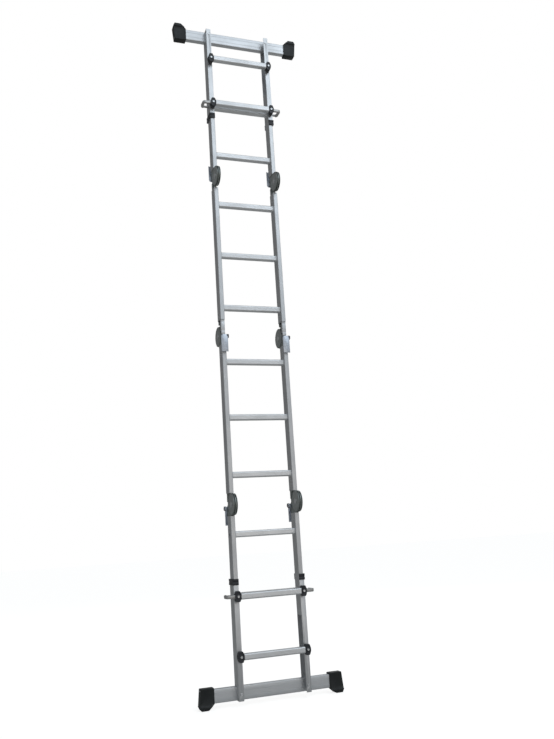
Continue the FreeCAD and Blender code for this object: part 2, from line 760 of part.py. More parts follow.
def release_lever(hinge, side):
    """Makes a latch lever: a lipped paddle, two ears, a knob and an arm with a tooth."""
    body = new_body(f"lever_{hinge}_{side_name(side)}")
    wide = "lever_width / 2"
    half = [
        (wide, "lever_reach"),
        (wide, "lever_start + lever_arch"),
        (f"{wide} - lever_crown / 4", "lever_start + lever_arch / 4"),
        (f"{wide} - lever_crown", "lever_start"),
    ]
    plate = half + [(f"-({across})", along) for across, along in reversed(half)]
    add(body, "XZ_Plane", [plate], "lever_sheet", "lever_top - lever_sheet / 2")
    under = "(lever_sheet - lever_top)"
    lips = span("-lever_top", f"{under} + lever_lip", "lever_ear", "lever_reach")
    boss_end = "boss_radius - pin_across"
    ears = [
        ("-lever_top", "pin_along"),
        (under, "pin_along - boss_radius"),
        (boss_end, "pin_along - boss_radius"),
        (boss_end, "pin_along + boss_radius"),
        (under, "lever_ear"),
        ("-lever_top", "lever_ear"),
    ]
    for side_wall in (-1, 1):
        lip_shift = f"{side_wall} * (lever_width / 2 - lever_sheet / 2)"
        add(body, "YZ_Plane", [lips], "lever_sheet", lip_shift)
        ear_shift = f"{side_wall} * (ear_inner + ear_outer) / 2"
        add(body, "YZ_Plane", [ears], "ear_outer - ear_inner", ear_shift)
    add(body, "YZ_Plane", [latch_arm()], "arm_width")
    knob_end = "(lever_width / 2 + knob_proud)"
    knob_shift = f"-(ear_inner + {knob_end}) / 2"
    knob = ("-pin_across", "pin_along", "knob_radius")
    add_discs(body, "YZ_Plane", [knob], f"{knob_end} - ear_inner", knob_shift)
    pin = ("-pin_across", "pin_along", "pin_radius + running_gap")
    drill(body, "YZ_Plane", [pin], "2 * (ear_outer + washer_gap)")
    place_hinge(body, hinge, side)
    return keep(body)


def latch_arm():
    """Gives the outline of a lever's arm, with its tooth at the disc's rim."""
    tip = "disc_radius + tooth_gap"
    back = "lever_sheet / 2 - lever_top"
    boss_end = "boss_radius - pin_across"
    return [
        (back, "lever_start"),
        (boss_end, "pin_along - boss_radius"),
        at_latch("arm_inner", "-tooth_width / 2"),
        at_latch(tip, "-tooth_width / 2"),
        at_latch(tip, "tooth_width / 2"),
        at_latch("arm_outer", "tooth_width / 2"),
        (boss_end, "pin_along + boss_radius"),
        (back, "pin_along + boss_radius"),
    ]


def rivet(name, hinge, side, across, along, radius, length):
    """Makes a plain round rivet or pin that runs across one side of a hinge."""
    body = new_body(f"{name}_{hinge}_{side_name(side)}")
    add_discs(body, "YZ_Plane", [(across, along, radius)], length)
    place_hinge(body, hinge, side)
    return body


def pivot(hinge, side):
    """Makes a headed hinge pivot."""
    spot = ("disc_offset", "0")
    body = rivet("pivot", hinge, side, *spot, "pivot_radius", "fork_width")
    for way in (-1, 1):
        shift = f"{way} * (fork_width + head_height) / 2"
        add_discs(body, "YZ_Plane", [(*spot, "pivot_head")], "head_height", shift)
    return body


def shank_rivets(hinge, side, end, way):
    """Makes the two rivets through a fork's (1) or a tongue's (-1) shank."""
    made = []
    for reach in ("rivet_near", "rivet_far"):
        spot = ("0", f"{way} * {reach}")
        body = rivet(f"{reach}_{end}", hinge, side, *spot, "rivet_radius", "rail_width")
        made.append(body)
    return made


def lever_pin(hinge, side):
    """Makes the pin that a latch lever turns on."""
    spot = ("-pin_across", "pin_along")
    return rivet("pin", hinge, side, *spot, "pin_radius", "2 * ear_outer")


def hinges():
    """Makes the three pairs of hinges; the rivets of a section are one sub-part."""
    rivets = {section: [] for section in "abcd"}
    for hinge, (fork_section, tongue_section) in SECTIONS.items():
        forks = []
        tongues = []
        for side in (-1, 1):
            forks.append(hinge_fork(hinge, side))
            tongues.append(hinge_tongue(hinge, side))
            release_lever(hinge, side)
            rivets[fork_section] += [pivot(hinge, side), lever_pin(hinge, side)]
            rivets[fork_section] += shank_rivets(hinge, side, "fork", 1)
            rivets[tongue_section] += shank_rivets(hinge, side, "tongue", -1)
        group(f"hinge_forks_{hinge}", forks)
        group(f"hinge_tongues_{hinge}", tongues)
    for section, members in rivets.items():
        group(f"hinge_rivets_{section}", members)


def check_all():
    """Stops if any object of the document is broken."""
    for thing in doc.Objects:
        if "Invalid" in thing.State or "Error" in thing.State:
            raise RuntimeError(thing.Label + " failed to compute")
    for node in nodes:
        if node.Shape.isNull() or not node.Shape.isValid():
            raise RuntimeError(node.Label + " has a bad shape")


def export_all():
    """Writes one STEP file for each sub-part."""
    os.makedirs("parts", exist_ok=True)
    for node in nodes:
        node.Shape.exportStep(f"parts/{node.Label}.step")


fill_sheet()
fixed_sections()
telescoping_sections()
hinges()
doc.recompute()
check_all()
export_all()
print(len(nodes), "sub-parts written")
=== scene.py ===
import json
import logging
import math
from dataclasses import dataclass
from enum import Enum
from typing import Callable, Sequence

import bmesh
import bpy
from mathutils import Matrix, Vector


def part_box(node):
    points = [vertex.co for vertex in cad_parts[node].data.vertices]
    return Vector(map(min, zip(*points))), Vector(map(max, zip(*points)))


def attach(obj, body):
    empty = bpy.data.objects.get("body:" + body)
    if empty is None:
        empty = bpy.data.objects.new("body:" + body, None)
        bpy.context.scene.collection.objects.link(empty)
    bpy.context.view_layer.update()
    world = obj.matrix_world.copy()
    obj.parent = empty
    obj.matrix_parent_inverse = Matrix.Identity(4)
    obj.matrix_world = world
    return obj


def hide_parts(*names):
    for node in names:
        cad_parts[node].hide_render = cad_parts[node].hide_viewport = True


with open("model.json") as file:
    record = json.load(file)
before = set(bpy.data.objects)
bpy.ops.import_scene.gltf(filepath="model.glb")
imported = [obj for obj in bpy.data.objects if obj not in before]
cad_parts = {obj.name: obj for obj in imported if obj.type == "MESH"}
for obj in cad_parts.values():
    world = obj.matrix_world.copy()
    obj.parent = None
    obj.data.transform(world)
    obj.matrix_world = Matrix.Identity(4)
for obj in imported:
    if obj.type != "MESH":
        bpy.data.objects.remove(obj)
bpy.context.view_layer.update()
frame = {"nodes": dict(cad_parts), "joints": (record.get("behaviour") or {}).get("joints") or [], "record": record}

# Looks of a folding ladder with telescoping ends. Sizes are in metres: X runs
# along the rungs, Y to the back and Z up.

log = logging.getLogger("ladder")
Triple = tuple[float, float, float]
Pair = tuple[float, float]
Place = Sequence[float]
Piece = bpy.types.Object
Socket = bpy.types.NodeSocket
Steps = tuple[Pair, ...]

FRONT, RIGHT, UP = Vector((0, -1, 0)), Vector((1, 0, 0)), Vector((0, 0, 1))
TINY = 1e-5  # corners and faces this close are in the same place
NEAR = 0.0005  # how far a face's middle may be from where it is sought
FACING = 0.99  # the least cosine between the way asked for and a face's or an edge's own
RAIL_CENTRE = 0.162
SIDES = ("left", "right")
RUNG_PLACES = ("inner", "outer")


class Axis(Enum):
    """A level axis that a round piece runs along."""

    X = 0
    Y = 1

    def turned(self) -> Triple:
        """Gives the turn that lays an upright cylinder along the axis."""
        quarter = math.pi / 2
        return (0, quarter, 0) if self is Axis.X else (quarter, 0, 0)


class Slot(Enum):
    """The record's material slots."""

    ALUMINIUM = "satin_aluminium"
    HINGE = "hinge_steel"
    BRIGHT = "bright_steel"
    LEVER = "lever_metal"
    HANDLE = "grey_handle"
    PLASTIC = "black_plastic"
    RUBBER = "foot_rubber"


# Shaping


def focus(*pieces: Piece) -> None:
    """Selects pieces and nothing else, and makes the first one active.

    Args:
        *pieces: The pieces.
    """
    bpy.ops.object.select_all(action="DESELECT")
    for piece in pieces:
        piece.select_set(True)
    bpy.context.view_layer.objects.active = pieces[0]


def runs_across(edge: bmesh.types.BMEdge) -> bool:
    """Tells whether an edge runs along X."""
    return abs((edge.verts[0].co - edge.verts[1].co).normalized().x) > FACING


def heal() -> None:
    """Merges the doubled corners of what is in edit mode and turns its faces outwards."""
    bpy.ops.mesh.select_all(action="SELECT")
    bpy.ops.mesh.remove_doubles(threshold=TINY)
    bpy.ops.mesh.normals_make_consistent(inside=False)


class Workpiece:
    """A mesh being shaped in edit mode, from a primitive or a copy of a CAD node."""

    def __init__(self, piece: Piece, name: str) -> None:
        """Takes over a new object and opens it in edit mode.

        Args:
            piece: The object, which is the active one.
            name: The name of the finished piece.
        """
        self.piece = piece
        piece.name = name
        piece.data.name = name
        bpy.ops.object.transform_apply(location=True, rotation=True, scale=True)
        bpy.ops.object.mode_set(mode="EDIT")
        bpy.ops.mesh.select_mode(type="FACE")

    @classmethod
    def block(cls, name: str, low: Place, high: Place) -> "Workpiece":
        """Starts from a block.

        Args:
            name: The name of the finished piece.
            low: Its lowest corner.
            high: Its highest corner.

        Returns:
            The workpiece.
        """
        bpy.ops.object.select_all(action="DESELECT")
        low, high = Vector(low), Vector(high)
        bpy.ops.mesh.primitive_cube_add(size=1, location=(low + high) / 2, scale=high - low)
        return cls(bpy.context.object, name)

    @classmethod
    def disc(
        cls, name: str, centre: Place, radius: float, thick: float, axis: Axis, sides: int
    ) -> "Workpiece":
        """Starts from a disc.

        Args:
            name: The name of the finished piece.
            centre: Its centre.
            radius: Its radius.
            thick: Its thickness.
            axis: The axis it faces along.
            sides: The number of its sides.

        Returns:
            The workpiece.
        """
        bpy.ops.object.select_all(action="DESELECT")
        bpy.ops.mesh.primitive_cylinder_add(
            vertices=sides, radius=radius, depth=thick, location=centre, rotation=axis.turned()
        )
        return cls(bpy.context.object, name)

    @classmethod
    def copy_of(cls, node: str, name: str) -> "Workpiece":
        """Starts from a merged copy of a CAD node.

        Args:
            node: The CAD node.
            name: The name of the finished piece.

        Returns:
            The workpiece.
        """
        piece = bpy.data.objects.new(name, frame["nodes"][node].data.copy())
        piece.data.materials.clear()
        bpy.context.scene.collection.objects.link(piece)
        focus(piece)
        made = cls(piece, name)
        bpy.ops.mesh.select_all(action="SELECT")
        bpy.ops.mesh.remove_doubles(threshold=TINY)
        bpy.ops.mesh.dissolve_limited(angle_limit=math.radians(0.5))
        return made

    def _select(self, kind: str, wanted: Callable[[object], bool]) -> None:
        """Selects what a test picks.

        Args:
            kind: "FACE", "EDGE" or "VERT".
            wanted: The test.
        """
        bpy.ops.mesh.select_mode(type=kind)
        bpy.ops.mesh.select_all(action="DESELECT")
        mesh = bmesh.from_edit_mesh(self.piece.data)
        parts = {"FACE": mesh.faces, "EDGE": mesh.edges, "VERT": mesh.verts}[kind]
        for part in [part for part in parts if wanted(part)]:
            part.select_set(True)
        if kind == "VERT":
            mesh.select_flush(True)
        bmesh.update_edit_mesh(self.piece.data)

    def pick(self, wanted: Callable[[bmesh.types.BMFace], bool]) -> None:
        """Selects the faces that a test picks."""
        self._select("FACE", wanted)

    def pick_facing(
        self, way: Vector, where: Callable[[Vector], bool] = lambda spot: True
    ) -> None:
        """Selects the faces that look one way and whose middle passes a test.

        Args:
            way: The direction.
            where: The test.
        """
        self.pick(
            lambda face: face.normal.dot(way) > FACING and where(face.calc_center_median())
        )

    def pick_corners(self, wanted: Callable[[Vector], bool]) -> None:
        """Selects the corners that a test picks by their place."""
        self._select("VERT", lambda corner: wanted(corner.co))

    def pick_edges(self, wanted: Callable[[bmesh.types.BMEdge], bool]) -> None:
        """Selects the edges that a test picks."""
        self._select("EDGE", wanted)

    def score(self, point: Place, normal: Place) -> None:
        """Cuts a line round the workpiece where a plane meets it."""
        self._slice(point, normal, False)

    def cut_off(self, point: Place, normal: Place) -> None:
        """Takes off what lies beyond a plane and closes the cut."""
        self._slice(point, normal, True)

    def _slice(self, point: Place, normal: Place, away: bool) -> None:
        """Meets the workpiece with a plane, and may take off what lies beyond it.

        Args:
            point: A point on the plane.
            normal: The plane's normal.
            away: Whether what lies beyond is taken off and the cut closed.
        """
        bpy.ops.mesh.select_all(action="SELECT")
        bpy.ops.mesh.bisect(
            plane_co=point, plane_no=normal, use_fill=away, clear_outer=away, threshold=TINY / 10
        )

    def pull(self, offset: Place) -> None:
        """Extrudes the selected faces by an offset."""
        bpy.ops.mesh.extrude_region_move(TRANSFORM_OT_translate={"value": offset})

    def stretch(self, factors: Place, centre: Place) -> None:
        """Scales what is selected about a centre."""
        bpy.ops.transform.resize(value=factors, center_override=centre)

    def inset(self, border: float, sink: float = 0.0, each: bool = False) -> None:
        """Insets the selected faces and sinks what is left inside them."""
        bpy.ops.mesh.inset(thickness=border, depth=-sink, use_individual=each)

    def insets(self, steps: Steps) -> None:
        """Insets the selected faces once for each pair of border and sink."""
        for border, sink in steps:
            self.inset(border, sink)

    def round_selected(self, radius: float, steps: int) -> None:
        """Rounds the selected edges."""
        bpy.ops.mesh.bevel(offset=radius, segments=steps, affect="EDGES")

    def groove(self, low: Vector, high: Vector, way: Vector, depth: float) -> None:
        """Sinks a straight groove between two corners of a flat side.

        Args:
            low: The groove's lowest corner.
            high: Its highest corner.
            way: The way the side faces.
            depth: The groove's depth.
        """
        across = [axis for axis in range(3) if abs(way[axis]) < 0.5]
        for axis in across:
            normal = Vector((0, 0, 0))
            normal[axis] = 1
            self.score(low, normal)
            self.score(high, normal)
        self.pick_facing(way, lambda spot: all(low[i] < spot[i] < high[i] for i in across))
        self.pull(-way * depth)

    def swing(self, centre: Place, steps: int) -> None:
        """Sweeps the selected face a quarter turn round an upright axis.

        Args:
            centre: A point on the axis.
            steps: The number of steps.
        """
        bpy.ops.mesh.spin(
            steps=steps, angle=-math.pi / 2, center=centre, axis=(0, 0, 1), dupli=False
        )
        self.piece.update_from_editmode()

    def done(self, edge: float, steps: int = 2, sharp: float = 30.0) -> Piece:
        """Leaves edit mode and eases the sharp edges.

        Args:
            edge: The width of the eased edges.
            steps: The number of steps across them.
            sharp: The angle in degrees from which an edge is eased.

        Returns:
            The finished piece.
        """
        bpy.ops.object.mode_set(mode="OBJECT")
        focus(self.piece)
        if edge:
            ease = self.piece.modifiers.new("ease", "BEVEL")
            ease.width = edge
            ease.segments = steps
            ease.limit_method = "ANGLE"
            ease.angle_limit = math.radians(sharp)
            ease.use_clamp_overlap = False
            bpy.ops.object.modifier_apply(modifier=ease.name)
        bpy.ops.object.shade_smooth_by_angle(angle=math.radians(sharp))
        return self.piece


def twin(piece: Piece, name: str, change: Matrix) -> Piece:
    """Copies a finished piece to another place, with its own mesh.

    Args:
        piece: The piece.
        name: The copy's name.
        change: Where the copy goes; it may mirror the piece.

    Returns:
        The copy.
    """
    made = bpy.data.objects.new(name, piece.data.copy())
    made.data.name = name
    made.data.transform(change)
    bpy.context.scene.collection.objects.link(made)
    if change.determinant() < 0:
        focus(made)
        bpy.ops.object.mode_set(mode="EDIT")
        heal()
        if bmesh.from_edit_mesh(made.data).calc_volume(signed=True) < 0:
            bpy.ops.mesh.flip_normals()
        bpy.ops.object.mode_set(mode="OBJECT")
    return made


def mirror(at: float = 0.0) -> Matrix:
    """Gives a mirror across the upright plane at a place on X."""
    return Matrix.Translation((2 * at, 0, 0)) @ Matrix.Diagonal((-1.0, 1.0, 1.0, 1.0))


def both_sides(parts: Sequence[Piece]) -> list[Piece]:
    """Adds to pieces on the right their mirrored copies on the left."""
    return [*parts, *(twin(part, part.name + "_left", mirror()) for part in parts)]


def joined(name: str, parts: Sequence[Piece]) -> Piece:
    """Joins pieces that never move apart into one object.

    Args:
        name: The name of the joined piece.
        parts: The pieces.

    Returns:
        The joined piece.
    """
    focus(*parts)
    bpy.ops.object.join()
    parts[0].name = name
    parts[0].data.name = name
    return parts[0]


def middle(node: str) -> Vector:
    """Gives the middle of a CAD node's box."""
    low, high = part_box(node)
    return (low + high) / 2


def joint_place(key: str, value: str) -> Place:
    """Gives the place of a joint, found by its name or its child."""
    return next(joint["pos_m"] for joint in frame["joints"] if joint[key] == value)


# Finishes


class Wiring:
    """Adds and links the nodes of a material or a shader group."""

    def __init__(self, tree: bpy.types.NodeTree) -> None:
        """Works on one node tree."""
        self.tree = tree

    def add(self, kind: str, **values: object) -> bpy.types.Node:
        """Adds a node and sets its properties, and its sockets by position.

        Args:
            kind: The node's type.
            **values: Properties by name; "sockets" maps input names or numbers to values.

        Returns:
            The node.
        """
        node = self.tree.nodes.new(kind)
        for key, value in values.pop("sockets", {}).items():
            node.inputs[key].default_value = value
        for key, value in values.items():
            setattr(node, key, value)
        return node

    def link(self, start: Socket, end: Socket) -> None:
        """Links an output to an input."""
        self.tree.links.new(start, end)

    def blend(self, mask: Socket, low: object, high: object) -> Socket:
        """Mixes two colours by a mask.

        Args:
            mask: The mask.
            low: A colour or a socket, where the mask is 0.
            high: The same, where it is 1.

        Returns:
            The mixed colour.
        """
        node = self.add("ShaderNodeMix", data_type="RGBA")
        self.link(mask, node.inputs[0])
        for place, value in ((6, low), (7, high)):
            if isinstance(value, Socket):
                self.link(value, node.inputs[place])
            else:
                node.inputs[place].default_value = (*value, 1.0)
        return node.outputs[2]

    def times(self, one: Socket, other: Socket) -> Socket:
        """Multiplies two values and keeps the result between 0 and 1.

        Args:
            one: A value.
            other: Another.

        Returns:
            The result.
        """
        node = self.add("ShaderNodeMath", operation="MULTIPLY", use_clamp=True)
        self.link(one, node.inputs[0])
        self.link(other, node.inputs[1])
        return node.outputs[0]

    def ramp(
        self, value: Socket, low: float, high: float, start: float = 0.0, end: float = 1.0
    ) -> Socket:
        """Spreads a value's range, from (start, end) to (low, high).

        Args:
            value: The value.
            low: The result at the start.
            high: The result at the end.
            start: The value at the start.
            end: The value at the end.

        Returns:
            The result.
        """
        sockets = {1: start, 2: end, 3: low, 4: high}
        node = self.add("ShaderNodeMapRange", sockets=sockets)
        self.link(value, node.inputs[0])
        return node.outputs[0]


class Effects:
    """The shader groups that the finishes share."""

    def __init__(self) -> None:
        """Builds each group once."""
        self.grain = self._grain()
        self.wear = self._wear()
        self.dust = self._dust()

    @staticmethod
    def _group(name: str, **inputs: float | Triple) -> tuple:
        """Starts a group with named inputs and a mask as its output.

        Args:
            name: The group's name.
            **inputs: Each input's value.

        Returns:
            The group, its wiring, its inputs and the socket of its mask.
        """
        group = bpy.data.node_groups.new(name, "ShaderNodeTree")
        for label, value in inputs.items():
            kind = "NodeSocketVector" if isinstance(value, tuple) else "NodeSocketFloat"
            socket = group.interface.new_socket(name=label, in_out="INPUT", socket_type=kind)
            socket.default_value = value
        group.interface.new_socket(name="Mask", in_out="OUTPUT", socket_type="NodeSocketFloat")
        wires = Wiring(group)
        given = wires.add("NodeGroupInput").outputs
        return group, wires, given, wires.add("NodeGroupOutput").inputs["Mask"]

    def _grain(self) -> bpy.types.NodeTree:
        """Makes streaks or mottling: noise stretched along the axes.

        Returns:
            The group.
        """
        group, wires, given, mask = self._group("grain", Stretch=EVEN, Scale=100.0, Detail=3.0)
        spot = wires.add("ShaderNodeTexCoord")
        mapping = wires.add("ShaderNodeMapping")
        noise = wires.add("ShaderNodeTexNoise", sockets={"Roughness": 0.6})
        wires.link(spot.outputs["Object"], mapping.inputs["Vector"])
        wires.link(given["Stretch"], mapping.inputs["Scale"])
        wires.link(mapping.outputs[0], noise.inputs["Vector"])
        wires.link(given["Scale"], noise.inputs["Scale"])
        wires.link(given["Detail"], noise.inputs["Detail"])
        wires.link(wires.ramp(noise.outputs[0], 0.0, 1.0, 0.3, 0.7), mask)
        return group

    def _wear(self) -> bpy.types.NodeTree:
        """Makes a mask along the edges, where rubbing shows.

        Returns:
            The group.
        """
        group, wires, given, mask = self._group("edge_wear", Width=0.001, Amount=0.5)
        rounded = wires.add("ShaderNodeBevel", samples=4)
        plain = wires.add("ShaderNodeNewGeometry")
        angle = wires.add("ShaderNodeVectorMath", operation="DOT_PRODUCT")
        wires.link(given["Width"], rounded.inputs["Radius"])
        wires.link(rounded.outputs[0], angle.inputs[0])
        wires.link(plain.outputs["Normal"], angle.inputs[1])
        worn = wires.ramp(angle.outputs["Value"], 1.0, 0.0, 0.75, 0.99)
        wires.link(wires.times(worn, given["Amount"]), mask)
        return group

    def _dust(self) -> bpy.types.NodeTree:
        """Makes a mask where dust lies: patchy, on what faces up.

        Returns:
            The group.
        """
        group, wires, given, mask = self._group("dust", Scale=30.0, Amount=0.3)
        surface = wires.add("ShaderNodeNewGeometry")
        split = wires.add("ShaderNodeSeparateXYZ")
        spot = wires.add("ShaderNodeTexCoord")
        noise = wires.add("ShaderNodeTexNoise", sockets={"Detail": 4.0})
        wires.link(surface.outputs["Normal"], split.inputs[0])
        wires.link(spot.outputs["Object"], noise.inputs["Vector"])
        wires.link(given["Scale"], noise.inputs["Scale"])
        level = wires.ramp(split.outputs["Z"], 0.15, 1.0, 0.0, 1.0)
        patches = wires.ramp(noise.outputs[0], 0.0, 1.0, 0.4, 0.7)
        wires.link(wires.times(wires.times(level, patches), given["Amount"]), mask)
        return group


DUST_COLOUR = (0.50, 0.49, 0.46)


@dataclass(frozen=True)
class Finish:
    """One surface finish: its colours, its gloss and its grain."""

    name: str
    slot: Slot
    colour: Triple
    shade: Triple
    worn: Triple
    metallic: float
    roughness: float
    spread: float
    stretch: Triple
    grain: float
    bump: float
    wear: float = 0.4
    wear_width: float = 0.0008
    dust: float = 0.1
    mottle: float = 9.0

    def material(self, effects: Effects) -> bpy.types.Material:
        """Builds the material.

        Args:
            effects: The shared shader groups.

        Returns:
            The material.
        """
        made = bpy.data.materials.new(self.name)
        made.use_nodes = True
        made.node_tree.nodes.clear()
        wires = Wiring(made.node_tree)
        sockets = {"Metallic": self.metallic, "Specular IOR Level": 0.5}
        shader = wires.add("ShaderNodeBsdfPrincipled", sockets=sockets)
        output = wires.add("ShaderNodeOutputMaterial")
        streaks = self._group(wires, effects.grain, Stretch=self.stretch, Scale=self.grain)
        clouds = self._group(wires, effects.grain, Scale=self.mottle, Detail=2.0)
        wear = self._group(wires, effects.wear, Width=self.wear_width, Amount=self.wear)
        dust = self._group(wires, effects.dust, Amount=self.dust)
        both = wires.add("ShaderNodeMix", data_type="FLOAT", sockets={0: 0.35})
        wires.link(clouds, both.inputs[2])
        wires.link(streaks, both.inputs[3])
        colour = wires.blend(both.outputs[0], self.colour, self.shade)
        colour = wires.blend(wear, colour, self.worn)
        colour = wires.blend(dust, colour, DUST_COLOUR)
        wires.link(colour, shader.inputs["Base Color"])
        low = self.roughness - self.spread
        high = self.roughness + self.spread
        wires.link(wires.ramp(both.outputs[0], low, high), shader.inputs["Roughness"])
        bump = wires.add("ShaderNodeBump", sockets={"Strength": self.bump, "Distance": 0.0004})
        wires.link(streaks, bump.inputs["Height"])
        wires.link(bump.outputs[0], shader.inputs["Normal"])
        wires.link(shader.outputs[0], output.inputs["Surface"])
        return made

    @staticmethod
    def _group(wires: Wiring, group: bpy.types.NodeTree, **values: object) -> Socket:
        """Places a shared group with its own values and gives its mask.

        Args:
            wires: The material's wiring.
            group: The group.
            **values: The values by input.

        Returns:
            The mask.
        """
        node = wires.add("ShaderNodeGroup", node_tree=group)
        for label, value in values.items():
            node.inputs[label].default_value = value
        return node.outputs["Mask"]


ALONG_X = (0.02, 1.0, 1.0)
ALONG_Z = (1.0, 1.0, 0.02)
EVEN = (1.0, 1.0, 1.0)
FINISHES = {
    "rail": Finish(
        "rail_aluminium", Slot.ALUMINIUM, (0.67, 0.675, 0.68), (0.60, 0.605, 0.61),
        (0.80, 0.805, 0.81), 0.85, 0.38, 0.06, ALONG_Z, 900.0, 0.10,
    ),
    "rung": Finish(
        "rung_aluminium", Slot.ALUMINIUM, (0.86, 0.865, 0.87), (0.78, 0.785, 0.79),
        (0.92, 0.925, 0.93), 0.80, 0.38, 0.06, ALONG_X, 900.0, 0.12, dust=0.2,
    ),
    "bar": Finish(
        "bar_aluminium", Slot.ALUMINIUM, (0.74, 0.75, 0.76), (0.67, 0.68, 0.69),
        (0.86, 0.87, 0.88), 0.80, 0.40, 0.07, ALONG_X, 700.0, 0.12, dust=0.2,
    ),
    "hinge": Finish(
        "plated_hinge", Slot.HINGE, (0.35, 0.375, 0.355), (0.25, 0.27, 0.255),
        (0.62, 0.64, 0.63), 0.75, 0.38, 0.08, EVEN, 420.0, 0.10, wear=0.8, wear_width=0.0014,
    ),
    "cover": Finish(
        "stamped_cover", Slot.HINGE, (0.46, 0.485, 0.465), (0.35, 0.37, 0.36),
        (0.68, 0.70, 0.69), 0.75, 0.34, 0.08, EVEN, 420.0, 0.08, wear=0.8, wear_width=0.0012,
    ),
    "bright": Finish(
        "bright_zinc", Slot.BRIGHT, (0.80, 0.81, 0.82), (0.66, 0.67, 0.67),
        (0.92, 0.92, 0.92), 0.95, 0.24, 0.06, EVEN, 600.0, 0.06,
    ),
    "lever": Finish(
        "lever_metal", Slot.LEVER, (0.66, 0.70, 0.76), (0.56, 0.60, 0.66),
        (0.82, 0.85, 0.88), 0.70, 0.33, 0.06, ALONG_Z, 800.0, 0.08,
    ),
    "handle": Finish(
        "moulded_grey", Slot.HANDLE, (0.56, 0.55, 0.53), (0.44, 0.43, 0.415),
        (0.74, 0.73, 0.72), 0.65, 0.32, 0.08, EVEN, 1400.0, 0.20,
    ),
    "plastic": Finish(
        "moulded_black", Slot.PLASTIC, (0.014, 0.015, 0.019), (0.024, 0.026, 0.032),
        (0.10, 0.10, 0.11), 0.0, 0.42, 0.08, EVEN, 1600.0, 0.25, wear=0.5,
    ),
    "rubber": Finish(
        "foot_rubber", Slot.RUBBER, (0.003, 0.005, 0.005), (0.010, 0.013, 0.013),
        (0.05, 0.06, 0.06), 0.0, 0.52, 0.12, EVEN, 260.0, 0.45, wear=0.35, dust=0.06,
    ),
}


class Paintshop:
    """Gives pieces their finish and the body they ride on."""

    def __init__(self) -> None:
        """Builds every material once."""
        effects = Effects()
        self.materials = {key: finish.material(effects) for key, finish in FINISHES.items()}
        self.bodies = frame["record"]["behaviour"]["bodies"]

    def paint(self, piece: Piece, key: str) -> None:
        """Gives a piece one finish all over."""
        piece.data.materials.clear()
        piece.data.materials.append(self.materials[key])

    def keep(self, node: str, key: str) -> None:
        """Finishes a CAD node that stays as it is."""
        self.paint(frame["nodes"][node], key)
        log.info("%s kept, %s", node, key)

    def body_of(self, node: str) -> str:
        """Gives the body that a CAD node belongs to."""
        return next(body for body, members in self.bodies.items() if node in members)

    def stand_in(self, piece: Piece, node: str, key: str) -> None:
        """Finishes a piece that replaces a CAD node."""
        self.trim(piece, self.body_of(node), key)
        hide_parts(node)

    def trim(self, piece: Piece, body: str, key: str) -> None:
        """Finishes a piece that is added to a body.

        Args:
            piece: The piece.
            body: The body.
            key: The finish's key.
        """
        self.paint(piece, key)
        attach(piece, body)
        faces = len(piece.data.polygons)
        log.info("%s on %s, %s, %d faces", piece.name, body, key, faces)


# Sub-assemblies


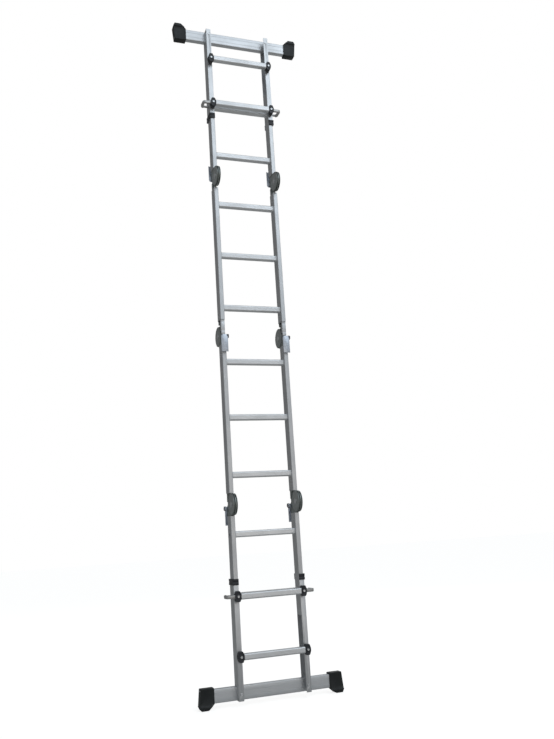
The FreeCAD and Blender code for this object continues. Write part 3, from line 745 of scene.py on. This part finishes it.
@dataclass
class FixedSections:
    """The four straight sections: rails, rungs, the beads on the rungs and the rivet heads."""

    shop: Paintshop
    bead_width: float = 0.004
    bead_proud: float = 0.0014
    bead_round: float = 0.0075
    bead_bite: float = 0.001
    head_radius: float = 0.0056
    head_height: float = 0.0013
    head_sides: int = 20
    dome: float = 0.86
    rivet_places: Pair = (0.086, 0.104)
    sections: str = "abcd"

    def build(self) -> None:
        """Keeps the CAD rails and rungs, and adds beads and rivet heads."""
        for section in self.sections:
            for side in SIDES:
                self.shop.keep(f"rail_{section}_{side}", "rail")
            self.shop.keep(f"hinge_rivets_{section}", "bright")
        rungs = sorted(node for node in frame["nodes"] if node.startswith("rung_fixed_"))
        bead = self.bead(rungs[0])
        home = middle(rungs[0])
        for node in rungs:
            self.shop.keep(node, "rung")
            number = node[-2:]
            move = Matrix.Translation(middle(node) - home)
            pair = [
                twin(bead, f"bead_left_{number}", move),
                twin(bead, f"bead_right_{number}", mirror() @ move),
            ]
            self.shop.trim(joined(f"rung_beads_{number}", pair), self.shop.body_of(node), "rung")
        bpy.data.objects.remove(bead)
        for section in self.sections:
            self.rivet_heads(section)

    def bead(self, node: str) -> Piece:
        """Makes the swaged bead at the left end of a rung, as a ring in the rung's wall.

        Args:
            node: The rung.

        Returns:
            The bead.
        """
        low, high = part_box(node)
        grow = Vector((0, self.bead_proud, self.bead_proud))
        end = Vector((low.x + self.bead_width, high.y, high.z))
        work = Workpiece.block("bead", low - grow, end + grow)
        work.pick_edges(runs_across)
        work.round_selected(self.bead_round, 5)
        work.pick_facing(RIGHT)
        work.inset(self.bead_proud / 2)
        work.pull((self.bead_proud, 0, 0))
        centre = (low + high) / 2

        def on_axis(spot: Vector) -> bool:
            """Tells whether a face's middle is on the rung's axis."""
            return math.hypot(spot.y - centre.y, spot.z - centre.z) < NEAR

        hollow = self.bead_proud + self.bead_bite
        for way, border in ((-RIGHT, hollow), (RIGHT, hollow - self.bead_proud / 2)):
            work.pick_facing(way, on_axis)
            work.inset(border)
        work.pick(
            lambda face: abs(face.normal.x) > FACING and on_axis(face.calc_center_median())
        )
        bpy.ops.mesh.bridge_edge_loops()
        return work.done(self.bead_proud / 3)

    def rivet_heads(self, section: str) -> None:
        """Makes the domed heads of the rivets through a section's rails.

        Args:
            section: The section's letter.
        """
        heads = []
        low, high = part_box(f"rail_{section}_right")
        sides = [(-1, low.x)] if section in "ad" else [(-1, low.x), (1, high.x)]
        for number, height in enumerate(self.rivet_heights(section)):
            for place, (way, face) in enumerate(sides):
                centre = (face + way * self.head_height / 2, 0, height)
                name = f"head_{section}_{number}_{place}"
                work = Workpiece.disc(
                    name, centre, self.head_radius, self.head_height, Axis.X, self.head_sides
                )
                work.pick_facing(way * RIGHT)
                work.inset(self.head_height * 0.7)
                work.stretch((1, self.dome, self.dome), centre)
                heads += both_sides([work.done(self.head_height * 0.4)])
        self.shop.trim(joined(f"rivet_heads_{section}", heads), f"section_{section}", "bright")

    def rivet_heights(self, section: str) -> list[float]:
        """Gives the heights of the rivets through a section's rails.

        Args:
            section: The section's letter.

        Returns:
            The heights.
        """
        joined_by = {"upper_hinge": "ab", "middle_hinge": "bc", "lower_hinge": "cd"}
        heights = []
        for joint in frame["joints"]:
            pair = joined_by.get(joint["name"], "")
            if section in pair:
                way = 1 if section == pair[0] else -1
                heights += [joint["pos_m"][2] + way * place for place in self.rivet_places]
        return heights


@dataclass
class Hinges:
    """The three pairs of hinges with their levers."""

    shop: Paintshop
    eased: float = 0.0006
    cover_radius: float = 0.0475
    cover_thick: float = 0.0011
    cover_sides: int = 64
    rim: float = 0.0055
    dish: float = 0.0008
    boss: float = 0.0135
    cheek: float = 0.009
    sleeve_proud: float = 0.0006
    sleeve_gap: float = 0.0006
    sleeve_front: float = -0.025
    sleeve_back: float = -0.0085
    sleeve_rise: float = 0.0145
    sleeve_band: Pair = (0.008, 0.0095)
    sleeve_groove: float = 0.0005
    sleeve_round: float = 0.0009
    tongue_back: float = -0.0225
    tongue_end: float = 0.0025
    tongue_lap: float = 0.002

    def build(self) -> None:
        """Eases the forks, tongues and levers, and adds the stamped covers."""
        bodies = {"upper": "section_a", "middle": "section_c", "lower": "section_d"}
        for hinge, body in bodies.items():
            for node in (f"hinge_forks_{hinge}", f"hinge_tongues_{hinge}"):
                piece = Workpiece.copy_of(node, f"{node}_eased").done(self.eased)
                self.shop.stand_in(piece, node, "hinge")
            cover = self.cover(hinge, joint_place("name", f"{hinge}_hinge"))
            inner = twin(cover, "cover_in", mirror(RAIL_CENTRE))
            covers = joined(f"hinge_covers_{hinge}", both_sides([cover, inner]))
            self.shop.trim(covers, body, "cover")
            for side in SIDES:
                Lever(self.shop, f"lever_{hinge}_{side}", self.eased).build()
        self.tang_sleeves()

    def tang_sleeves(self) -> None:
        """Makes the light sleeves over the tangs between section B and the middle levers."""
        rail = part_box("rail_b_right")[0].z
        axis = joint_place("name", "middle_hinge")[2]
        half = self.cheek + self.sleeve_proud
        low = (RAIL_CENTRE - half, self.sleeve_front - self.sleeve_proud, axis + self.sleeve_rise)
        high = (RAIL_CENTRE + half, self.sleeve_back, rail - self.sleeve_gap)
        work = Workpiece.block("sleeve", low, high)
        for drop in self.sleeve_band:
            work.score((0, 0, rail - drop), UP)
        band = rail - sum(self.sleeve_band) / 2
        work.pick(lambda face: abs(face.calc_center_median().z - band) < NEAR)
        work.inset(0.0, self.sleeve_groove)
        parts = [work.done(self.sleeve_round, 3)]
        low, high = (
            (low[0], low[1], axis - self.tongue_end),
            (high[0], self.tongue_back, low[2] + self.tongue_lap),
        )
        parts.append(Workpiece.block("tongue", low, high).done(self.sleeve_round, 3))
        self.shop.trim(joined("tang_sleeves_middle", both_sides(parts)), "section_b", "rail")

    def cover(self, hinge: str, spot: Place) -> Piece:
        """Makes a stamped cover with a raised rim and a boss around the pivot.

        Args:
            hinge: The hinge's name.
            spot: A point on its axis.

        Returns:
            The cover on the outer cheek of the right-hand hinge.
        """
        centre = (RAIL_CENTRE + self.cheek + self.cover_thick / 2, spot[1], spot[2])
        name = f"cover_{hinge}"
        work = Workpiece.disc(
            name, centre, self.cover_radius, self.cover_thick, Axis.X, self.cover_sides
        )
        work.pick_facing(RIGHT)
        floor = self.cover_radius - self.rim - self.dish - self.boss
        work.insets(
            ((self.rim, 0.0), (self.dish, self.dish), (floor, 0.0), (self.dish, -self.dish))
        )
        return work.done(self.cover_thick / 4, 2, 25.0)


@dataclass
class Lever:
    """A latch lever with its black knob and its thumb grip."""

    shop: Paintshop
    node: str
    eased: float
    knob_proud: float = 0.0006
    knob_radius: float = 0.0104
    knob_thick: float = 0.0098
    knob_ahead: float = 0.005
    knob_sides: int = 40
    knob_round: float = 0.0006
    knob_steps: Steps = ((0.0018, 0.0), (0.0007, 0.0007), (0.0028, 0.0), (0.0008, -0.0005))
    rib_count: int = 5
    rib_start: float = 0.012
    rib_pitch: float = 0.006
    rib_half_length: float = 0.011
    rib_half_width: float = 0.0014
    rib_proud: float = 0.0009
    rib_root: float = 0.001
    rib_round: float = 0.0005

    def build(self) -> None:
        """Eases the lever, and adds its knob and its grip ribs."""
        piece = Workpiece.copy_of(self.node, f"{self.node}_eased").done(self.eased)
        self.shop.stand_in(piece, self.node, "lever")
        spot = Vector(joint_place("child", self.node))
        low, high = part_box(self.node)
        self.shop.trim(self.knob(spot, low, high), self.node, "plastic")
        self.shop.trim(self.grip(spot, low, high), self.node, "lever")

    def knob(self, spot: Vector, low: Vector, high: Vector) -> Piece:
        """Makes the black knob over the lever's own, with a ring and a dimple.

        Args:
            spot: A point on the lever's axis.
            low: The lowest corner of the lever's box.
            high: Its highest corner.

        Returns:
            The knob.
        """
        way = 1 if high.x - spot.x > spot.x - low.x else -1
        across = (high.x if way > 0 else low.x) + way * (self.knob_proud - self.knob_thick / 2)
        centre = Vector((across, spot.y + math.copysign(self.knob_ahead, spot.y), spot.z))
        name = f"{self.node}_knob"
        work = Workpiece.disc(
            name, centre, self.knob_radius, self.knob_thick, Axis.X, self.knob_sides
        )
        work.pick_facing(way * RIGHT)
        work.insets(self.knob_steps)
        return work.done(self.knob_round)

    def grip(self, spot: Vector, low: Vector, high: Vector) -> Piece:
        """Makes the raised thumb grip near the lever's free end.

        Args:
            spot: A point on the lever's axis.
            low: The lowest corner of the lever's box.
            high: Its highest corner.

        Returns:
            The ribs of the grip.
        """
        outward = 1 if spot.y > 0 else -1
        face = high.y if outward > 0 else low.y
        free = 1 if abs(high.z - spot.z) > abs(low.z - spot.z) else -1
        end = high.z if free > 0 else low.z
        centre = math.copysign(RAIL_CENTRE, spot.x)
        depths = sorted((face - outward * self.rib_root, face + outward * self.rib_proud))
        ribs = []
        for number in range(self.rib_count):
            height = end - free * (self.rib_start + self.rib_pitch * number)
            start = (centre - self.rib_half_length, depths[0], height - self.rib_half_width)
            stop = (centre + self.rib_half_length, depths[1], height + self.rib_half_width)
            ribs.append(Workpiece.block(f"rib_{number}", start, stop).done(self.rib_round, 3))
        return joined(f"{self.node}_grip", ribs)


@dataclass
class Boot:
    """The right-hand rubber boot of a bar: sloped sides, sunk panels and a treaded sole."""

    node: str
    way: int
    sole_height: float = 0.016
    sole_in: float = 0.309
    sole_out: float = 0.342
    toe: float = 0.025
    lean: float = 0.007
    flare: float = 0.0045
    flare_rise: float = 0.004
    panel_rise: float = 0.01
    panel_border: float = 0.008
    panel_sink: float = 0.0025
    tread_border: float = 0.003
    tread_width: float = 0.0011
    tread_depth: float = 0.0016
    eased: float = 0.0016

    def build(self) -> Piece:
        """Makes the boot.

        Returns:
            The boot.
        """
        low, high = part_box(self.node)
        low.y += self.flare
        high.y -= self.flare
        way = self.way
        sole, top = (high.z, low.z) if way > 0 else (low.z, high.z)
        work = Workpiece.block(f"{self.node}_shaped", low, high)
        knee = high.x, sole - way * self.sole_height
        inner = low.x, sole - way * self.toe
        self.trim_side(work, (self.sole_in, sole), inner, Vector((-1, 0, way)))
        self.trim_side(work, (self.sole_out, sole), knee, Vector((1, 0, way)))
        self.trim_side(work, knee, (high.x - self.lean, top), RIGHT)
        for height in (self.sole_height, self.sole_height + self.flare_rise):
            work.score((0, 0, sole - way * height), UP)
        width = high.y - low.y
        factor = (width + 2 * self.flare) / width
        flared = self.sole_height + TINY
        work.pick_corners(lambda spot: way * (sole - spot.z) < flared)
        work.stretch((1, factor, 1), (0, (low.y + high.y) / 2, sole))
        panel = self.sole_height + self.panel_rise
        for face in (FRONT, -FRONT):
            work.pick_facing(face, lambda spot: way * (sole - spot.z) > panel)
            work.inset(self.panel_border, self.panel_sink)
        work.pick_facing(way * UP, lambda spot: abs(spot.z - sole) < TINY)
        work.inset(self.tread_border)
        bpy.ops.mesh.subdivide(number_cuts=3)
        work.inset(self.tread_width, self.tread_depth, True)
        return work.done(self.eased, 3, 25.0)

    @staticmethod
    def trim_side(work: Workpiece, first: Pair, second: Pair, out: Vector) -> None:
        """Cuts a side off the boot along a line seen from the front.

        Args:
            work: The boot.
            first: One point of the line, along X and Z.
            second: Another point.
            out: Roughly the way that the cut side faces.
        """
        run = Vector((second[0] - first[0], 0, second[1] - first[1]))
        normal = Vector((run.z, 0, -run.x)).normalized()
        if normal.dot(out) < 0:
            normal.negate()
        work.cut_off((first[0], 0, first[1]), normal)


@dataclass
class EndSection:
    """A telescoping end section: rails, rungs, brackets, bar, feet, collars and locks."""

    shop: Paintshop
    end: str
    eased: float = 0.0005
    stock: float = 0.012
    lock_round: float = 0.0036
    bend: float = 0.002
    bend_steps: int = 6
    pin_radius: float = 0.006
    pin_nose: float = 0.1736
    pin_sides: int = 32
    pin_round: float = 0.0008
    panel_border: float = 0.004
    panel_sink: float = 0.0014
    bracket_round: float = 0.0006
    collar_band: float = 0.003
    collar_border: float = 0.0004
    collar_groove: float = 0.0008
    head_radius: float = 0.0052
    head_height: float = 0.0025
    head_sides: int = 36
    head_round: float = 0.0004
    head_steps: Steps = ((0.0009, 0.0), (0.0022, 0.0), (0.0003, 0.0013))
    shank_inset: float = 0.0035
    shank_length: float = 0.004
    bracket_inner: float = 0.147
    bar_round: float = 0.003
    bar_grooves: Pair = (0.3, 0.7)
    groove_half: float = 0.0011
    groove_depth: float = 0.0009

    def build(self) -> None:
        """Builds the end section."""
        for side in SIDES:
            node = f"rail_{self.end}_{side}"
            piece = Workpiece.copy_of(node, f"{node}_eased").done(self.eased)
            self.shop.stand_in(piece, node, "rail")
            self.lock(f"lock_{self.end}_{side}")
        for label in RUNG_PLACES:
            self.shop.keep(f"rung_{self.end}_{label}", "rung")
        self.brackets()
        self.collars()
        self.bolts()
        self.bar()
        self.feet()

    def brackets(self) -> None:
        """Eases the rung brackets and sinks a panel in each front."""
        node = f"brackets_{self.end}"
        work = Workpiece.copy_of(node, f"{node}_eased")
        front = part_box(node)[0].y
        work.pick_facing(FRONT, lambda spot: abs(spot.y - front) < NEAR)
        work.inset(self.panel_border, self.panel_sink)
        self.shop.stand_in(work.done(self.bracket_round, 2, 40.0), node, "plastic")

    def collars(self) -> None:
        """Eases the guide collars and grooves them all round."""
        node = f"collars_{self.end}"
        low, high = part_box(node)
        work = Workpiece.copy_of(node, f"{node}_eased")
        centre = (low.z + high.z) / 2
        for way in (-1, 1):
            work.score((0, 0, centre + way * self.collar_band), UP)

        def outside(face: bmesh.types.BMFace) -> bool:
            """Tells whether a face is in the band, on the outside of a collar.

            Args:
                face: The face.

            Returns:
                Whether it is.
            """
            spot = face.calc_center_median()
            banded = abs(spot.z - centre) < self.collar_band and abs(face.normal.z) < 0.1
            return banded and (
                abs(abs(spot.y) - high.y) < TINY or abs(abs(spot.x) - high.x) < TINY
            )

        work.pick(outside)
        work.inset(self.collar_border, self.collar_groove)
        self.shop.stand_in(work.done(self.eased), node, "plastic")

    def bolts(self) -> None:
        """Makes the bright bolts in the brackets and through the bar, with their sockets."""
        node = f"bolts_{self.end}"
        low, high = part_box(node)
        bar = middle(f"bar_{self.end}").z
        across = (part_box(f"brackets_{self.end}")[1].x + self.bracket_inner) / 2
        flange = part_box(f"rail_{self.end}_right")[0].y
        heads = []
        for label in RUNG_PLACES:
            height = middle(f"rung_{self.end}_{label}").z
            heads.append(self.head(f"bolt_{label}", (across, low.y, height), 1))
        front = (RAIL_CENTRE, flange - self.head_height, bar)
        heads.append(self.head("bolt_bar_front", front, 1))
        heads.append(self.head("bolt_bar_back", (RAIL_CENTRE, high.y, bar), -1))
        self.shop.stand_in(joined(f"{node}_shaped", both_sides(heads)), node, "bright")

    def head(self, name: str, spot: Place, inward: int) -> Piece:
        """Makes a round bolt head with a socket and a bevelled rim.

        Args:
            name: The head's name.
            spot: The middle of its outer face.
            inward: The way along Y from that face to the shank.

        Returns:
            The head with its shank.
        """
        depth = self.head_height
        centre = Vector(spot) + Vector((0, inward * depth / 2, 0))
        work = Workpiece.disc(name, centre, self.head_radius, depth, Axis.Y, self.head_sides)
        work.pick_facing(inward * FRONT)
        work.insets(self.head_steps)
        work.pick_facing(-inward * FRONT)
        work.inset(self.shank_inset)
        work.pull((0, inward * self.shank_length, 0))
        return work.done(self.head_round)

    def bar(self) -> None:
        """Makes the stabiliser bar: rounded edges, with two grooves along each side."""
        node = f"bar_{self.end}"
        low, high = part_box(node)
        work = Workpiece.block(f"{node}_shaped", low, high)
        work.pick_edges(runs_across)
        work.round_selected(self.bar_round, 4)
        for share in self.bar_grooves:
            height = low.z + share * (high.z - low.z)
            start = Vector((low.x + self.bar_round, 0, height - self.groove_half))
            stop = Vector((high.x - self.bar_round, 0, height + self.groove_half))
            for way in (FRONT, -FRONT):
                work.groove(start, stop, way, self.groove_depth)
        self.shop.stand_in(work.done(0.0002, 1), node, "bar")

    def feet(self) -> None:
        """Makes the right boot and mirrors it for the left."""
        right, left = f"foot_{self.end}_right", f"foot_{self.end}_left"
        boot = Boot(right, 1 if self.end == "top" else -1).build()
        other = twin(boot, f"{left}_shaped", mirror())
        self.shop.stand_in(boot, right, "rubber")
        self.shop.stand_in(other, left, "rubber")

    def lock(self, node: str) -> None:
        """Makes a lock handle as one rounded loop with its pin, and mirrors it for the left.

        Args:
            node: Its CAD node.
        """
        low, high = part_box(node)
        on_left = high.x < 0
        start, tip = (-high.x, -low.x) if on_left else (low.x, high.x)
        turn = tip - self.stock - self.bend
        name = f"{node}_shaped"
        work = Workpiece.block(name, (start, low.y, low.z), (turn, low.y + self.stock, high.z))
        near = low.y + self.stock + self.bend
        far = high.y - self.stock - self.bend
        work.pick_facing(RIGHT)
        work.swing((turn, near, 0), self.bend_steps)
        work.pull((0, far - near, 0))
        work.swing((turn, far, 0), self.bend_steps)
        heal()
        loop = work.done(self.lock_round, 4, 60.0)
        end = turn + self.bend
        centre = ((self.pin_nose + end) / 2, high.y - self.stock / 2, (low.z + high.z) / 2)
        length = end - self.pin_nose
        pin = Workpiece.disc(
            f"{node}_pin", centre, self.pin_radius, length, Axis.X, self.pin_sides
        )
        handle = joined(name, [loop, pin.done(self.pin_round)])
        if on_left:
            mirrored = twin(handle, "loop", mirror())
            bpy.data.objects.remove(handle)
            mirrored.name = name
            handle = mirrored
        self.shop.stand_in(handle, node, "handle")


# Studio


@dataclass
class Studio:
    """The floor, the lights and the camera."""

    place: Triple = (-1.1695, -3.5656, 0.7442)
    yaw: float = 19.855
    pitch: float = 12.214
    roll: float = -3.706
    lens: float = 37.21
    aim: Triple = (0, 0, 1.9)
    floor_size: float = 60.0
    floor_lift: float = 0.80
    floor_colours: tuple[Triple, Triple] = ((0.56, 0.54, 0.51), (0.60, 0.58, 0.55))
    ahead_colours: tuple[Triple, Triple] = ((0.53, 0.50, 0.47), (0.48, 0.54, 0.60))
    behind_colour: Triple = (0.17, 0.173, 0.175)

    def build(self) -> None:
        """Makes the floor, the lights and the camera."""
        self.floor()
        self.world()
        self.light("key", (2.4, -4.6, 6.2), 4.4, 66.0, (0.85, 0.93, 1.0))
        self.light("fill", (0.8, -5.0, 1.0), 2.4, 9.0, (1.0, 0.92, 0.84))
        self.light("rim", (3.2, 4.6, 3.4), 4.0, 30.0, (0.96, 0.98, 1.0))
        self.camera()
        bpy.context.scene.view_settings.view_transform = "Standard"

    def floor(self) -> None:
        """Makes a plain pale floor with a faint mottle, lifted where the eye sees it."""
        bpy.ops.object.select_all(action="DESELECT")
        bpy.ops.mesh.primitive_plane_add(size=self.floor_size)
        floor = bpy.context.object
        floor.name = "floor"
        made = bpy.data.materials.new("pale_floor")
        made.use_nodes = True
        shader = made.node_tree.nodes["Principled BSDF"]
        wires = Wiring(made.node_tree)
        noise = wires.add("ShaderNodeTexNoise", sockets={"Scale": 0.8, "Detail": 3.0})
        colour = wires.blend(noise.outputs[0], *self.floor_colours)
        wires.link(colour, shader.inputs["Base Color"])
        shader.inputs["Roughness"].default_value = 0.8
        path = wires.add("ShaderNodeLightPath")
        lift = wires.add("ShaderNodeMath", operation="MULTIPLY", sockets={1: self.floor_lift})
        glow = wires.add("ShaderNodeEmission")
        both = wires.add("ShaderNodeAddShader")
        output = made.node_tree.nodes["Material Output"]
        wires.link(path.outputs["Is Camera Ray"], lift.inputs[0])
        wires.link(lift.outputs[0], glow.inputs["Strength"])
        wires.link(shader.outputs[0], both.inputs[0])
        wires.link(glow.outputs[0], both.inputs[1])
        wires.link(both.outputs[0], output.inputs["Surface"])
        floor.data.materials.append(made)

    def world(self) -> None:
        """Makes the surroundings: white to the eye, and softer where metal mirrors them."""
        world = bpy.data.worlds.new("studio")
        bpy.context.scene.world = world
        world.use_nodes = True
        world.node_tree.nodes.clear()
        wires = Wiring(world.node_tree)
        spot = wires.add("ShaderNodeTexCoord")
        split = wires.add("ShaderNodeSeparateXYZ")
        wires.link(spot.outputs["Generated"], split.inputs[0])
        front = wires.ramp(split.outputs["Y"], 1.0, 0.0, -0.7, 0.5)
        height = wires.ramp(split.outputs["Z"], 0.0, 1.0, -0.3, 0.5)
        ahead = wires.blend(height, *self.ahead_colours)
        around = wires.blend(front, self.behind_colour, ahead)
        path = wires.add("ShaderNodeLightPath")
        seen = wires.blend(path.outputs["Is Camera Ray"], around, (1.0, 1.0, 1.0))
        back = wires.add("ShaderNodeBackground", sockets={"Strength": 1.0})
        output = wires.add("ShaderNodeOutputWorld")
        wires.link(seen, back.inputs["Color"])
        wires.link(back.outputs[0], output.inputs["Surface"])

    def light(self, name: str, place: Triple, size: float, power: float, colour: Triple) -> None:
        """Adds a soft square light that looks at the ladder.

        Args:
            name: The light's name.
            place: Where it stands.
            size: Its side.
            power: Its power in watts.
            colour: Its colour.
        """
        lamp = bpy.data.lights.new(name, "AREA")
        lamp.size = size
        lamp.energy = power
        lamp.color = colour
        made = bpy.data.objects.new(name, lamp)
        bpy.context.scene.collection.objects.link(made)
        made.location = place
        made.rotation_mode = "QUATERNION"
        made.rotation_quaternion = (Vector(self.aim) - Vector(place)).to_track_quat("-Z", "Y")

    def camera(self) -> None:
        """Places the camera by its yaw from +Y, its pitch and its roll."""
        yaw, pitch, roll = map(math.radians, (self.yaw, self.pitch, self.roll))
        ahead = Vector(
            (math.sin(yaw) * math.cos(pitch), math.cos(yaw) * math.cos(pitch), math.sin(pitch))
        )
        level = Vector((math.cos(yaw), -math.sin(yaw), 0))
        upright = level.cross(ahead)
        across = math.cos(roll) * level + math.sin(roll) * upright
        above = -math.sin(roll) * level + math.cos(roll) * upright
        lens = bpy.data.cameras.new("camera")
        lens.lens = self.lens
        lens.sensor_width = 36.0
        made = bpy.data.objects.new("camera", lens)
        bpy.context.scene.collection.objects.link(made)
        turn = Matrix((across, above, -ahead)).transposed()
        made.matrix_world = Matrix.Translation(self.place) @ turn.to_4x4()
        bpy.context.scene.camera = made


def main() -> None:
    """Builds the looks of the whole ladder."""
    logging.basicConfig(level=logging.INFO, format="%(message)s")
    bpy.ops.object.select_all(action="DESELECT")
    shop = Paintshop()
    FixedSections(shop).build()
    Hinges(shop).build()
    EndSection(shop, "top").build()
    EndSection(shop, "bottom").build()
    Studio().build()


if __name__ == "__main__":
    main()
